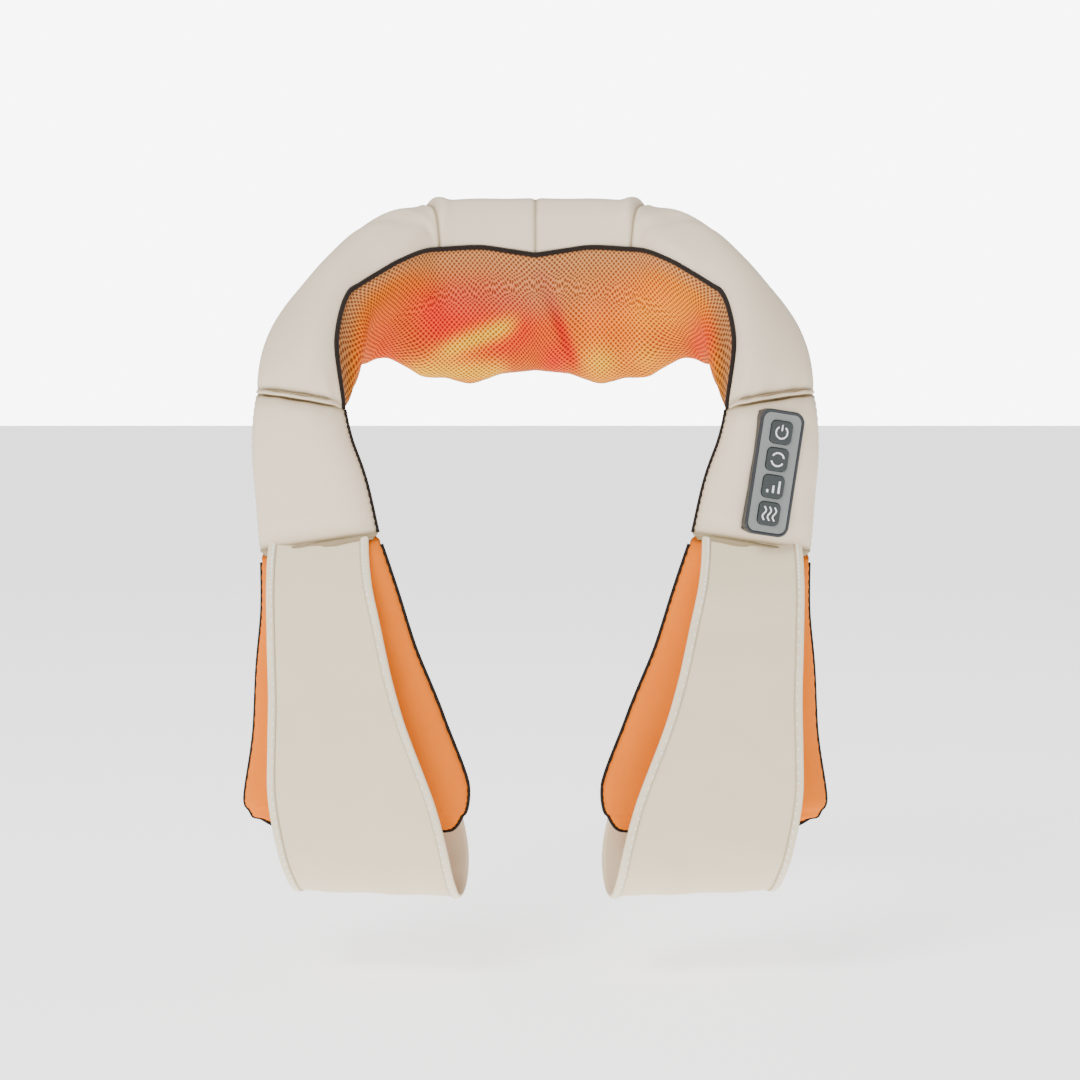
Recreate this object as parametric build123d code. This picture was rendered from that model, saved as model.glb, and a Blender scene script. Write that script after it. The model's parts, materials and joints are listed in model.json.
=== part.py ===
from build123d import *
import os
from math import asin, atan, cos, copysign, degrees, floor, pi, radians, sin

os.makedirs("parts", exist_ok=True)

# Shiatsu neck massager, in millimetres, +Z up. It hangs as it is worn and is seen from -Y:
# the collar is at the back with its mesh facing -Y, the shoulders curve forward and down, and
# the arms and hand pads hang in front. The origin is the middle of the mesh face that lies
# against the neck. "right" is the +X side, the one with the control panel.

# ---------------------------------------------------------------- driving dimensions

# Sewn skins: stations of (centre, direction out of the leather face, width, depth, squareness)
COLLAR_STATIONS = [
    (Vector(0, 39, 18), Vector(0, 1, 0), 128, 78, 3.6),
    (Vector(40, 37.5, 15), Vector(0.05, 1, 0), 134, 78, 3.6),
    (Vector(86, 29, 13), Vector(0.28, 0.93, 0.15), 127, 74, 3.3),
    (Vector(125, 8, 10), Vector(0.52, 0.60, 0.60), 104, 66, 2.8),
    (Vector(150, -22, -6), Vector(0.66, 0.08, 0.75), 80, 58, 2.6),
    (Vector(162, -54, -32), Vector(0.58, -0.55, 0.60), 66, 50, 2.5),
    (Vector(165, -80, -62), Vector(0.30, -0.95, 0.15), 64, 44, 2.4),
]
ARM_STATIONS = [
    (Vector(165, -82, -66), Vector(0.27, -0.96, 0.08), 65, 44, 2.4),
    (Vector(163, -88, -97), Vector(0.22, -0.97, 0.0), 74, 42, 2.4),
    (Vector(157, -90, -130), Vector(0.20, -0.98, 0.0), 81, 40, 2.4),
    (Vector(152, -92, -163), Vector(0.20, -0.98, 0.0), 86, 36, 2.4),
]
PAD_STATIONS = [
    (Vector(151, -92, -167), Vector(0.20, -0.98, 0.0), 86, 30, 2.2),
    (Vector(144, -92, -210), Vector(0.20, -0.98, 0.0), 101, 30, 2.2),
    (Vector(139, -92, -254), Vector(0.20, -0.98, 0.0), 120, 32, 2.2),
    (Vector(132, -92, -298), Vector(0.20, -0.98, 0.0), 141, 32, 2.2),
    (Vector(127, -92, -340), Vector(0.20, -0.98, 0.0), 163, 30, 2.2),
    (Vector(126, -92, -357), Vector(0.20, -0.98, 0.0), 155, 22, 2.2),
    (Vector(126, -92, -366), Vector(0.20, -0.98, 0.0), 128, 10, 2.2),
]
# Angle round the section of the piping along the mesh's upper edge, at stations 0 to 6
PIPING_ANGLES = [-77, -74, -60, -20, 8, 14, 3]

LEATHER = 1.3            # thickness of the leather and fabric skins
MESH = 1.5               # thickness of the spacer mesh
FOAM_INSET = 3           # foam starts this far inside the skin
PAD_FOAM_INSET = 5.2     # the same in a hand pad, which has piping all round
PIPING_R = 1.5
SEAM_HALF = 3.5          # half thickness where a limb is sewn through at a hinge seam
SEAM_TAPER = 22          # length over which a limb thins down to that seam
END_CLEAR = 0.04         # a limb stops this fraction of a station short of its seam
PIPING_CLEAR = 2.3       # the skins stay this far from the middle of a piping
PANEL_SEAM = 1.8         # station of the seam between the collar and shoulder panels

# Drive: one motor across the collar, a worm on each end of its shaft, a wheel below each worm
HEAD_X = 64              # each massage head's axis runs along Y at this X
HEAD_Z = -12
GEAR_Y = 48              # the plane of the worm shaft and the middle of both wheels
MODULE = 1.25
WHEEL_TEETH = 30
WORM_PITCH_R = 5
WHEEL_PITCH_R = MODULE * WHEEL_TEETH / 2
WORM_Z = HEAD_Z + WHEEL_PITCH_R + WORM_PITCH_R
WORM_LEAD = pi * MODULE
LEAD_ANGLE = degrees(atan(WORM_LEAD / (2 * pi * WORM_PITCH_R)))
WORM_LENGTH = 15
WHEEL_WIDTH = 6
SHAFT_R = 4              # output shafts
MOTOR_SHAFT_R = 2
MOTOR_R = 14
MOTOR_LENGTH = 38
BUSH_PLAY = 0.05

# Massage heads
NODE_R = 12.5
NODE_ORBIT = 22
NODE_Y = 19.5            # centre of the node balls
CARRIER_Y = (25, 29)     # front and back of the carrier plate

# Drive housing
WALL = 2.5
FRONT_PLATE_Y = (31.5, 34)
HOUSING_TOP = 38
HOUSING_BOTTOM = -36
HOUSING_PLAN = [(-97, 34.2), (-97, 48), (-60, 65), (60, 65), (97, 48), (97, 34.2)]

# Control panel on the right arm
PANEL_CENTRE = Vector(166, -109.2, -114)
PANEL_OUT = Vector(0.29, -0.957, 0)
PANEL_UP = Vector(0.151, 0.045, 0.988)
PANEL_W = 33
PANEL_H = 88
PANEL_CORNER = 8
KEY_SIZE = 16
KEY_PITCH = 19
KEY_PLAY = 0.35
KEY_TRAVEL = 0.8

# Hand straps
STRAP_T = 2
JACK_R = 2.85            # bore for a 5.5 mm barrel plug
JACK_BODY_R = 5.5
JACK_Y = 46


# ---------------------------------------------------------------- sewn skins

def between(values, s):
    """Value at s along evenly numbered stations, smooth through all of them."""
    i = min(max(int(floor(s)), 0), len(values) - 2)
    t = s - i
    here, there = values[i], values[i + 1]
    before = values[i - 1] if i else here * 2 - there
    after = values[i + 2] if i + 2 < len(values) else there * 2 - here
    return (here * (2 * t**3 - 3 * t**2 + 1) + there * (3 * t**2 - 2 * t**3)
            + (there - before) * (0.5 * (t**3 - 2 * t**2 + t)) + (after - here) * (0.5 * (t**3 - t**2)))


def spread(start, end, step):
    """Evenly spaced numbers from start to end, about step apart."""
    count = max(1, round((end - start) / step))
    return [start + (end - start) * i / count for i in range(count + 1)]


def both_sides(stations):
    """The stations of the right half, and their mirror images before them."""
    flip = [(Vector(-c.X, c.Y, c.Z), Vector(-out.X, out.Y, out.Z), *rest)
            for c, out, *rest in reversed(stations[1:])]
    return flip + stations


class Skin:
    """The outer surface of a stuffed tube, with round sections set out along its stations."""

    def __init__(self, stations, first=0, taper=(False, False)):
        self.rows = [list(column) for column in zip(*stations)]
        self.first = first
        self.last = first + len(stations) - 1
        self.taper = taper

    def frame(self, s):
        """Centre, edge direction, out direction, half width, half depth and power at s."""
        at = s - self.first
        centre, out, width, depth, power = [between(row, at) for row in self.rows]
        along = (between(self.rows[0], at + 0.01) - between(self.rows[0], at - 0.01)).normalized()
        out = (out - along * out.dot(along)).normalized()
        edge = along.cross(out)
        half = depth / 2
        for tapers, seam in zip(self.taper, (self.rows[0][0], self.rows[0][-1])):
            reach = (centre - seam).length / SEAM_TAPER
            if tapers and reach < 1:
                half = SEAM_HALF + (half - SEAM_HALF) * sin(radians(90 * reach))
        return centre, edge, out, width / 2, half, power

    def point(self, s, angle, inset=0.0):
        """A point of the section at s: 0 is its inner edge, 90 the leather face."""
        centre, edge, out, half_width, half_depth, power = self.frame(s)
        a, b = cos(radians(angle)), sin(radians(angle))
        return (centre + edge * copysign(abs(a) ** (2 / power), a) * (half_width - inset)
                + out * copysign(abs(b) ** (2 / power), b) * (half_depth - inset))

    def beside_edge(self, s, clear):
        """The angle at which the section is this far from its edge, towards a face."""
        half_depth, power = self.frame(s)[4:]
        return degrees(asin(min(1, clear / half_depth) ** (power / 2)))

    def strip(self, places, arc, outer, inner):
        """A curved sheet between two insets, over the arc of angles that arc(s) gives."""
        wires = []
        for s in places:
            start, end = arc(s)
            angles = [start + (end - start) * i / 18 for i in range(19)]
            upper = [self.point(s, a, outer) for a in angles]
            lower = [self.point(s, a, inner) for a in reversed(angles)]
            wires.append(Wire([Edge.make_spline(upper), Edge.make_line(upper[-1], lower[0]),
                               Edge.make_spline(lower), Edge.make_line(lower[-1], upper[0])]))
        return Solid.make_loft(wires)

    def core(self, places, inset):
        """The solid stuffing inside the skin."""
        wires = []
        for s in places:
            front = [self.point(s, 10 * i, inset) for i in range(19)]
            back = [self.point(s, 180 + 10 * i, inset) for i in range(18)] + [front[0]]
            wires.append(Wire([Edge.make_spline(front), Edge.make_spline(back)]))
        return Solid.make_loft(wires)


def cord(points, radius):
    """A thin round cord through the points, with eight flat sides."""
    rings = []
    for i, here in enumerate(points):
        ahead = points[min(i + 1, len(points) - 1)] - points[max(i - 1, 0)]
        side = Vector(0, 1, 0.3)
        ring = Plane(origin=here, x_dir=side - ahead.normalized() * side.dot(ahead.normalized()),
                     z_dir=ahead)
        corners = [ring.from_local_coords(Vector(radius * cos(pi * k / 4), radius * sin(pi * k / 4), 0))
                   for k in range(8)]
        rings.append(Wire.make_polygon(corners, close=True))
    return Solid.make_loft(rings, ruled=True)


def write(name, shape):
    """One file for one piece, or for a group of equal fasteners."""
    if isinstance(shape, (list, tuple)):
        shape = Compound(children=list(shape))
    export_step(shape, f"parts/{name}.step")


def mirrored(shape):
    return mirror(shape, about=Plane.YZ)


def write_pair(name, shape):
    """The right-hand piece, and its mirror image for the left."""
    write(f"right_{name}", shape)
    write(f"left_{name}", [mirrored(s) for s in shape] if isinstance(shape, list) else mirrored(shape))


def along_y(radius, start, end, x=0, z=0):
    """A round bar along Y."""
    return Pos(x, (start + end) / 2, z) * Rot(90, 0, 0) * Cylinder(radius, abs(end - start))


def along_x(radius, start, end, y=GEAR_Y, z=WORM_Z):
    """A round bar along X."""
    return Pos((start + end) / 2, y, z) * Rot(0, 90, 0) * Cylinder(radius, abs(end - start))


def block(x, y, z):
    """A box between the given pairs of limits."""
    return Pos((x[0] + x[1]) / 2, (y[0] + y[1]) / 2, (z[0] + z[1]) / 2) * Box(
        x[1] - x[0], y[1] - y[0], z[1] - z[0])


# ---------------------------------------------------------------- drive housing

SCREW_X = 45
SCREW_Z = (-30.5, 32.5)
BOSS_R = 4.5
SCREW_R = 1.5


def plan_prism(points, bottom, top):
    """The housing's plan shape, raised between two heights."""
    face = Face(Wire.make_polygon([Vector(x, y, bottom) for x, y in points], close=True))
    return Solid.extrude(face, Vector(0, 0, top - bottom))


def screw_spots():
    return [(x, z) for x in (-SCREW_X, SCREW_X, -91, 91) for z in SCREW_Z]


def rear_housing():
    """The tray that carries the motor, the worm bearings and the rear ends of both output shafts."""
    inner = [(-94.5, 30), (-94.5, 46.4), (-59.5, 62.5), (59.5, 62.5), (94.5, 46.4), (94.5, 30)]
    tray = plan_prism(HOUSING_PLAN, HOUSING_BOTTOM, HOUSING_TOP)
    tray = fillet(tray.edges().filter_by(Axis.X).sort_by(Axis.Y)[-2:], 6)
    tray -= plan_prism(inner, HOUSING_BOTTOM + WALL, HOUSING_TOP - WALL)
    cavity = plan_prism(HOUSING_PLAN, HOUSING_BOTTOM + 1, HOUSING_TOP - 1)
    posts = [along_y(BOSS_R, FRONT_PLATE_Y[1] + 0.2, 63, x, z) for x, z in screw_spots()]
    for side in (-1, 1):
        posts.append(along_y(9, 54, 63, side * HEAD_X, HEAD_Z))
        posts.append(block(sorted((side * 74.5, side * 79.5)), (42, 60), (WORM_Z - 5, WORM_Z + 7)))
        posts.append(block(sorted((side * 10, side * 14)), (51, 64), (WORM_Z - 13, WORM_Z + 13)))
        posts.append(along_y(3.5, GEAR_Y + 1, 64, 0, WORM_Z + side * 20))
    for post in posts:
        tray += post & cavity
    tray -= along_x(MOTOR_R + 0.1, -20, 20)
    for side in (-1, 1):
        tray -= along_y(6.02, 53, 60.5, side * HEAD_X, HEAD_Z)
        tray -= along_x(4.52, side * 74, side * 80)
        tray -= along_y(SCREW_R + 0.1, GEAR_Y, 60, 0, WORM_Z + side * 20)
    for x, z in screw_spots():
        tray -= along_y(SCREW_R + 0.1, 30, 46 if abs(x) < 90 else 42, x, z)
    tray -= along_z(JACK_BODY_R + 0.05, HOUSING_BOTTOM - 1, HOUSING_BOTTOM + WALL + 1, 0, JACK_Y)
    return tray





def along_z(radius, start, end, x=0, y=0):
    """A round bar along Z."""
    return Pos(x, y, (start + end) / 2) * Cylinder(radius, abs(end - start))


def front_housing():
    """The lid of the tray, with a bossed hole for each output shaft."""
    plate = block((-97, 97), FRONT_PLATE_Y, (HOUSING_BOTTOM, HOUSING_TOP))
    plate = fillet(plate.edges().filter_by(Axis.Y), 8)
    plate -= block((-20.5, 20.5), (30, 36), (WORM_Z - 11, WORM_Z + 11))
    for side in (-1, 1):
        plate += along_y(9, FRONT_PLATE_Y[0], 41, side * HEAD_X, HEAD_Z)
        plate -= along_y(6.02, 30, 42, side * HEAD_X, HEAD_Z)
    for x, z in screw_spots():
        plate -= along_y(SCREW_R + 0.2, 30, 36, x, z)
    return plate


def pan_screw(radius, head_radius, seat, tip, x, z):
    """A pan-head screw along Y, its head in front of the seat."""
    head = along_y(head_radius, seat - head_radius * 0.7, seat, x, z)
    head = fillet(head.edges().sort_by(Axis.Y)[0], head_radius * 0.3)
    cross = [Pos(x, seat - head_radius * 0.7, z) * Box(a, head_radius * 0.6, b)
             for a, b in ((head_radius * 1.1, 0.6), (0.6, head_radius * 1.1))]
    return head + along_y(radius, seat - 0.1, tip, x, z) - cross[0] - cross[1]


def housing_screws():
    screws = [pan_screw(SCREW_R, 2.8, FRONT_PLATE_Y[0], 44 if abs(x) < 90 else 40, x, z)
              for x, z in screw_spots()]
    return screws + [pan_screw(SCREW_R, 2.8, GEAR_Y - 1, 58, 0, WORM_Z + side * 20) for side in (-1, 1)]


def motor_can():
    """The motor's drawn steel can, open at both ends."""
    can = along_x(MOTOR_R, -MOTOR_LENGTH / 2, MOTOR_LENGTH / 2)
    return can - along_x(MOTOR_R - 1, -MOTOR_LENGTH / 2 - 1, MOTOR_LENGTH / 2 + 1)


def motor_end_caps():
    """Both end caps, with the motor's own bearings and two terminals on one of them."""
    caps = []
    for side in (-1, 1):
        end = side * MOTOR_LENGTH / 2
        cap = along_x(MOTOR_R - 1.02, end - side * 2, end) + along_x(4, end - side, end + side * 2.5)
        cap -= along_x(MOTOR_SHAFT_R + BUSH_PLAY, end - side * 4, end + side * 4)
        if side > 0:
            for y in (-6, 6):
                cap += Pos(end + 2, GEAR_Y + y, WORM_Z - 8) * Box(4.5, 2.5, 0.6)
        caps.append(cap)
    return caps


def motor_clamp():
    """The strap that holds the motor down on its cradle."""
    strap = along_x(MOTOR_R + 1.4, -7, 7) - along_x(MOTOR_R + 0.1, -8, 8)
    strap -= block((-9, 9), (GEAR_Y, 90), (WORM_Z - 30, WORM_Z + 30))
    for side in (-1, 1):
        foot = block((-7, 7), (GEAR_Y - 1, GEAR_Y + 0.6), sorted((WORM_Z + side * 14.2, WORM_Z + side * 23.3)))
        strap += foot - along_y(SCREW_R + 0.2, 40, 60, 0, WORM_Z + side * 20)
    return strap


def shaft_bushes():
    """Sintered bushes: front and rear for each output shaft, and one at each end of the worm shaft."""
    bushes = []
    for side in (-1, 1):
        for start, end in ((31.6, 40.8), (54.1, 60.4)):
            bush = along_y(6, start, end, side * HEAD_X, HEAD_Z)
            bushes.append(bush - along_y(SHAFT_R + BUSH_PLAY, start - 1, end + 1, side * HEAD_X, HEAD_Z))
        bush = along_x(4.5, side * 74.4, side * 79.6)
        bushes.append(bush - along_x(MOTOR_SHAFT_R + BUSH_PLAY, side * 73, side * 81))
    return bushes


def heat_board():
    """The circuit board between the heads that carries the red heat lamps."""
    board = block((-12, 12), (28.5, 30.1), (-33, 31))
    board = fillet(board.edges().filter_by(Axis.Y), 3)
    feet = [along_y(2.5, 30.1, FRONT_PLATE_Y[0], x, z) for x in (-8, 8) for z in (-28, 26)]
    return board + feet


HEAT_LAMPS = [(x, z) for x in (-6, 6) for z in (-20, -5, 10)]


def heat_lamps():
    lamps = []
    for x, z in HEAT_LAMPS:
        dome = Pos(x, 23.5, z) * Sphere(2.5)
        lamps.append(dome + along_y(2.5, 23.5, 27.4, x, z) + along_y(3, 27.4, 28.4, x, z))
    return lamps


def drive_board():
    """The motor driver board above the motor, with its larger components."""
    board = block((-39, 39), (57.5, 59.1), (26.5, 35))
    board -= along_y(4.5, 50, 70, 0, WORM_Z + 20)
    parts = [along_y(4, 46, 57.5, -28, 30.7), along_y(4, 46, 57.5, -16, 30.7),
             block((14, 24), (53, 57.5), (27, 34.5)), block((28, 36), (49, 57.5), (28, 34))]
    for part in parts:
        board += part
    return board


def dc_jack():
    """The power inlet in the underside of the collar, a socket for a barrel plug."""
    jack = along_z(JACK_BODY_R, -47.3, -30, 0, JACK_Y)
    jack += along_z(8, -49, -47.2, 0, JACK_Y)
    jack += block((-6, 6), (JACK_Y - 6, JACK_Y + 6), (-33.3, -28))
    jack -= along_z(JACK_R, -50, -35, 0, JACK_Y)
    return jack


# ---------------------------------------------------------------- worm drive and massage heads

def worm():
    """A single-start worm with a right-hand thread, for the left end of the motor shaft."""
    root = WORM_PITCH_R - 1.25 * MODULE
    tip = WORM_PITCH_R + MODULE
    thread = WORM_LENGTH - 4
    helix = Helix(WORM_LEAD, thread, (root + tip) / 2)
    start, heading = helix @ 0, helix % 0
    profile = Plane(origin=start, x_dir=Vector(1, 0, 0), z_dir=heading)
    high = (tip - root) / 2
    tooth = profile * Polygon((-high - 0.4, -0.95), (-high - 0.4, 0.95), (high, 0.4), (high, -0.4), align=None)
    ridge = sweep(tooth, helix, is_frenet=True)
    screw = Cylinder(root, WORM_LENGTH) + Pos(0, 0, -thread / 2) * ridge
    return screw - Cylinder(MOTOR_SHAFT_R, WORM_LENGTH + 2)


def worm_wheel():
    """A helical wheel that the worm turns, with its axis along Z and one tooth towards +X."""
    root = WHEEL_PITCH_R - 1.25 * MODULE
    tip = WHEEL_PITCH_R + MODULE
    tooth_face = Polygon((root - 0.6, -1.2), (root - 0.6, 1.2), (root, 1.1), (tip, 0.4), (tip, -0.4),
                         (root, -1.1), align=None)
    tooth = extrude(tooth_face, amount=WHEEL_WIDTH / 2, both=True)
    rim = Cylinder(root, WHEEL_WIDTH) - Cylinder(root - 3, WHEEL_WIDTH)
    wheel = rim + Cylinder(root - 2.5, 2.5) + Cylinder(7.5, WHEEL_WIDTH)
    for spot in PolarLocations(0, WHEEL_TEETH):
        wheel += spot * Rot(LEAD_ANGLE, 0, 0) * tooth
    for spot in PolarLocations(11, 5):
        wheel -= spot * Cylinder(2.2, WHEEL_WIDTH)
    return wheel - Cylinder(SHAFT_R + 0.01, WHEEL_WIDTH + 2)


def on_head_axis(shape, y):
    """Puts a piece made about Z onto the right head's axis, its +X turned to +Z."""
    return Pos(HEAD_X, y, HEAD_Z) * Rot(90, 0, 0) * Rot(0, 0, 90) * shape


def output_shaft():
    shaft = along_y(SHAFT_R, 26.2, 60.2, HEAD_X, HEAD_Z)
    for y in (41.2, 52.8):
        shaft += along_y(SHAFT_R + 1.2, y, y + 0.8, HEAD_X, HEAD_Z)
    return shaft - along_y(SCREW_R + 0.1, 20, 38, HEAD_X, HEAD_Z)


def node_spots():
    return [(HEAD_X + NODE_ORBIT * cos(radians(a)), HEAD_Z + NODE_ORBIT * sin(radians(a)))
            for a in (45, 135, 225, 315)]


def node_carrier():
    """The four-armed plate that carries the nodes."""
    front, back = CARRIER_Y
    plate = along_y(9, front, back + 0.8, HEAD_X, HEAD_Z)
    for x, z in node_spots():
        plate += along_y(9, front, back, x, z)
        plate += along_y(4, front - 8, front, x, z)
    for turn in (45, -45):
        plate += Pos(HEAD_X, (front + back) / 2, HEAD_Z) * Rot(0, turn, 0) * Box(2 * NODE_ORBIT, back - front, 11)
    plate -= along_y(SHAFT_R + 0.01, front + 0.2, back + 2, HEAD_X, HEAD_Z)
    return plate - along_y(SCREW_R + 0.1, front - 2, front + 2, HEAD_X, HEAD_Z)


def massage_nodes():
    """Soft domed nodes, each pushed onto a post of the carrier."""
    nodes = []
    for x, z in node_spots():
        ball = Pos(x, NODE_Y, z) * Sphere(NODE_R) & along_y(NODE_R + 1, 0, CARRIER_Y[0] - 0.05, x, z)
        nodes.append(ball - along_y(4.02, CARRIER_Y[0] - 8.2, CARRIER_Y[0] + 1, x, z))
    return nodes


# ---------------------------------------------------------------- soft shell

collar = Skin(both_sides(COLLAR_STATIONS), first=-6, taper=(True, True))
arm = Skin(ARM_STATIONS, taper=(True, True))
pad = Skin(PAD_STATIONS, taper=(True, False))
COLLAR_END = 6 - END_CLEAR


def piping_angle(s):
    return between(PIPING_ANGLES, abs(s))


def leather_arc(s):
    return piping_angle(s) + 5.5, 186


def mesh_arc(s):
    return 189, 354.5 + piping_angle(s)


def panel_space(grow, low, high):
    """The control panel's outline, grown on every side, between two heights over the leather."""
    plane = Plane(origin=PANEL_CENTRE, x_dir=PANEL_UP.cross(PANEL_OUT), z_dir=PANEL_OUT)
    outline = RectangleRounded(PANEL_W + 2 * grow, PANEL_H + 2 * grow, PANEL_CORNER + grow)
    return plane * Pos(0, 0, low) * extrude(outline, amount=high - low)


def shell_of_collar():
    jack_hole = along_z(JACK_BODY_R + 0.1, -70, -40, 0, JACK_Y)
    centre_panel = collar.strip(spread(0.02, PANEL_SEAM, 0.45), leather_arc, 0, LEATHER)
    write("collar_panel_right", centre_panel - jack_hole)
    write("collar_panel_left", mirrored(centre_panel) - jack_hole)
    ends = spread(PANEL_SEAM + 0.04, 5.2, 0.42) + spread(5.2, COLLAR_END, 0.19)[1:]
    write_pair("shoulder_cover", collar.strip(ends, leather_arc, 0, LEATHER))
    both = sorted({-s for s in ends} | {0.0, 0.9, -0.9} | set(ends))
    write("mesh_cover", collar.strip(both, mesh_arc, 0, MESH))
    line = [collar.point(s, piping_angle(s)) for s in spread(-5.7, 5.7, 0.2)]
    write("collar_piping", cord(line, PIPING_R))
    behind = collar.strip(spread(-2.1, 2.1, 0.35), lambda s: (-20, 126), FOAM_INSET, 6)
    write("collar_foam", behind - jack_hole)
    write_pair("shoulder_foam", collar.core([s for s in ends if s > 3], FOAM_INSET))


def limb(skin, end, stuffed_to, foam_inset=FOAM_INSET):
    """Front cover, back cover and stuffing of an arm or a hand pad."""
    places = spread(END_CLEAR, 0.6, 0.14) + spread(0.6, end - 0.6, 0.4)[1:-1] + spread(end - 0.6, end, 0.15)

    def front(s):
        gap = skin.beside_edge(s, PIPING_CLEAR)
        return gap, 180 - gap

    def back(s):
        gap = skin.beside_edge(s, PIPING_CLEAR)
        return 180 + gap, 360 - gap

    return (skin.strip(places, front, 0, LEATHER), skin.strip(places, back, 0, LEATHER),
            skin.core([s for s in places if s <= stuffed_to], foam_inset))


def arms():
    cover, lining, foam = limb(arm, 3 - END_CLEAR, 3)
    pocket = panel_space(0.4, -9.5, 7)
    write("left_arm_cover", mirrored(cover))
    write("left_arm_foam", mirrored(foam))
    write("right_arm_cover", cover - pocket)
    write("right_arm_foam", foam - pocket)
    write_pair("arm_lining", lining)
    write_pair("arm_piping", cord([arm.point(s, 0) for s in spread(0.3, 2.7, 0.12)], PIPING_R))


def pad_outline():
    """The line all round a hand pad where its two covers meet."""
    inner = [pad.point(s, 0) for s in spread(0.3, 5, 0.25) + spread(5, 6, 0.2)[1:]]
    outer = [pad.point(s, 180) for s in reversed(spread(0.3, 5, 0.25) + spread(5, 6, 0.2)[1:])]
    below = Vector(0, 0, -PIPING_R)
    bottom = [inner[-1] * (1 - t) + outer[0] * t + below for t in spread(0.06, 0.94, 0.11)]
    return inner + bottom + outer


def pads():
    front, back, foam = limb(pad, 6, 5.8, PAD_FOAM_INSET)
    write_pair("hand_pad_front", front)
    write_pair("hand_pad_back", back)
    write_pair("hand_pad_foam", foam)
    write_pair("hand_pad_piping", cord(pad_outline(), PIPING_R))


# Side view of the band of a hand strap: distance in front of the pad's middle, and height.
# It is sewn in at the seam above the pad, hangs in front, turns under the pad and is sewn on behind.
STRAP_LINE = [(11.5, -170), (19, -182), (27, -202), (34.5, -250), (39, -305), (39, -350), (33, -386),
              (15, -408), (-8, -408), (-23, -390), (-26, -360), (-22.5, -330), (-19.8, -312)]
# Front view: how far the band reaches to each side of the pad's line, and height
STRAP_INNER = [(-24, -165), (-55, -280), (-83, -350), (-91, -392), (-91, -420)]
STRAP_OUTER = [(46, -165), (39, -280), (40, -350), (30, -392), (28, -420)]
STRAP_ORIGIN = Vector(140, -92, 0)
STRAP_OUT = Vector(0.2, -0.98, 0).normalized()
STRAP_SIDE = Vector(0.98, 0.2, 0).normalized()


def strap_point(side, out, height):
    return STRAP_ORIGIN + STRAP_SIDE * side + STRAP_OUT * out + Vector(0, 0, height)


def hand_strap():
    """A flat band that loops in front of the pad and under it."""
    middle = Edge.make_spline([strap_point(-110, out, height) for out, height in STRAP_LINE])
    edges = []
    for shift in (-STRAP_T / 2, STRAP_T / 2):
        points = []
        for i in range(25):
            heading = middle % (i / 24)
            points.append(middle @ (i / 24) + heading.cross(STRAP_SIDE) * shift)
        edges.append(points)
    near, far = Edge.make_spline(edges[0]), Edge.make_spline(edges[1][::-1])
    rim = Wire([near, Edge.make_line(edges[0][-1], edges[1][-1]), far,
                Edge.make_line(edges[1][0], edges[0][0])])
    band = Solid.extrude(Face(rim), STRAP_SIDE * 190)
    outline = Wire([Edge.make_spline([strap_point(u, 60, z) for u, z in STRAP_INNER]),
                    Edge.make_line(strap_point(-91, 60, -420), strap_point(28, 60, -420)),
                    Edge.make_spline([strap_point(u, 60, z) for u, z in STRAP_OUTER[::-1]]),
                    Edge.make_line(strap_point(46, 60, -165), strap_point(-24, 60, -165))])
    return band & Solid.extrude(Face(outline), STRAP_OUT * -120)


# ---------------------------------------------------------------- control panel

PANEL_PLANE = Plane(origin=PANEL_CENTRE, x_dir=PANEL_UP.cross(PANEL_OUT), z_dir=PANEL_OUT)
RIM = 2.2                # width and height of the panel's raised rim
BOARD_LOW, BOARD_HIGH = -3.6, -2.0
FACE_LOW, FACE_HIGH = 0.6, 1.8


def key_heights():
    return [KEY_PITCH * k for k in (1.5, 0.5, -0.5, -1.5)]


def control_panel_base():
    """The dark tub of the panel, with its raised rim and four posts for the board."""
    tub = panel_space(0, -8, RIM) - panel_space(-RIM, -6, RIM + 1)
    tub = fillet(tub.edges().group_by(lambda e: round(PANEL_PLANE.to_local_coords(e.center()).Z, 1))[-1], 0.8)
    for x in (-10, 10):
        for y in (-38, 38):
            tub += PANEL_PLANE * Pos(x, y, (BOARD_LOW - 6.2) / 2) * Cylinder(1.8, BOARD_LOW + 6.2)
    return tub


def control_panel_face():
    """The plate round the keys."""
    face = panel_space(-RIM - 0.2, FACE_LOW, FACE_HIGH)
    for height in key_heights():
        hole = RectangleRounded(KEY_SIZE + 2 * KEY_PLAY, KEY_SIZE + 2 * KEY_PLAY, 4)
        face -= PANEL_PLANE * Pos(0, height, 0) * extrude(hole, amount=3)
    return face


def key_board():
    """The board under the keys, with a dome switch below each."""
    board = panel_space(-RIM - 0.4, BOARD_LOW, BOARD_HIGH)
    for height in key_heights():
        board += PANEL_PLANE * Pos(0, height, BOARD_HIGH + 0.3) * Cylinder(2.6, 0.8)
    return board


def key(height):
    """One rounded square key, with the lip that keeps it under the plate."""
    cap = extrude(RectangleRounded(KEY_SIZE, KEY_SIZE, 3.6), amount=3.4)
    cap = fillet(cap.edges().sort_by(Axis.Z)[-8:], 0.6)
    lip = extrude(RectangleRounded(KEY_SIZE + 1.8, KEY_SIZE + 1.8, 4.4), amount=0.8)
    return PANEL_PLANE * Pos(0, height, -0.3) * (cap + lip)


# ---------------------------------------------------------------- everything

def collar_mechanism():
    write("rear_housing", rear_housing())
    write("front_housing", front_housing())
    write("motor_can", motor_can())
    write("motor_end_caps", motor_end_caps())
    write("motor_clamp", motor_clamp())
    write("shaft_bushes", shaft_bushes())
    write("housing_screws", housing_screws())
    write("heat_board", heat_board())
    write("heat_lamps", heat_lamps())
    write("drive_board", drive_board())
    write("dc_jack", dc_jack())


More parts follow.
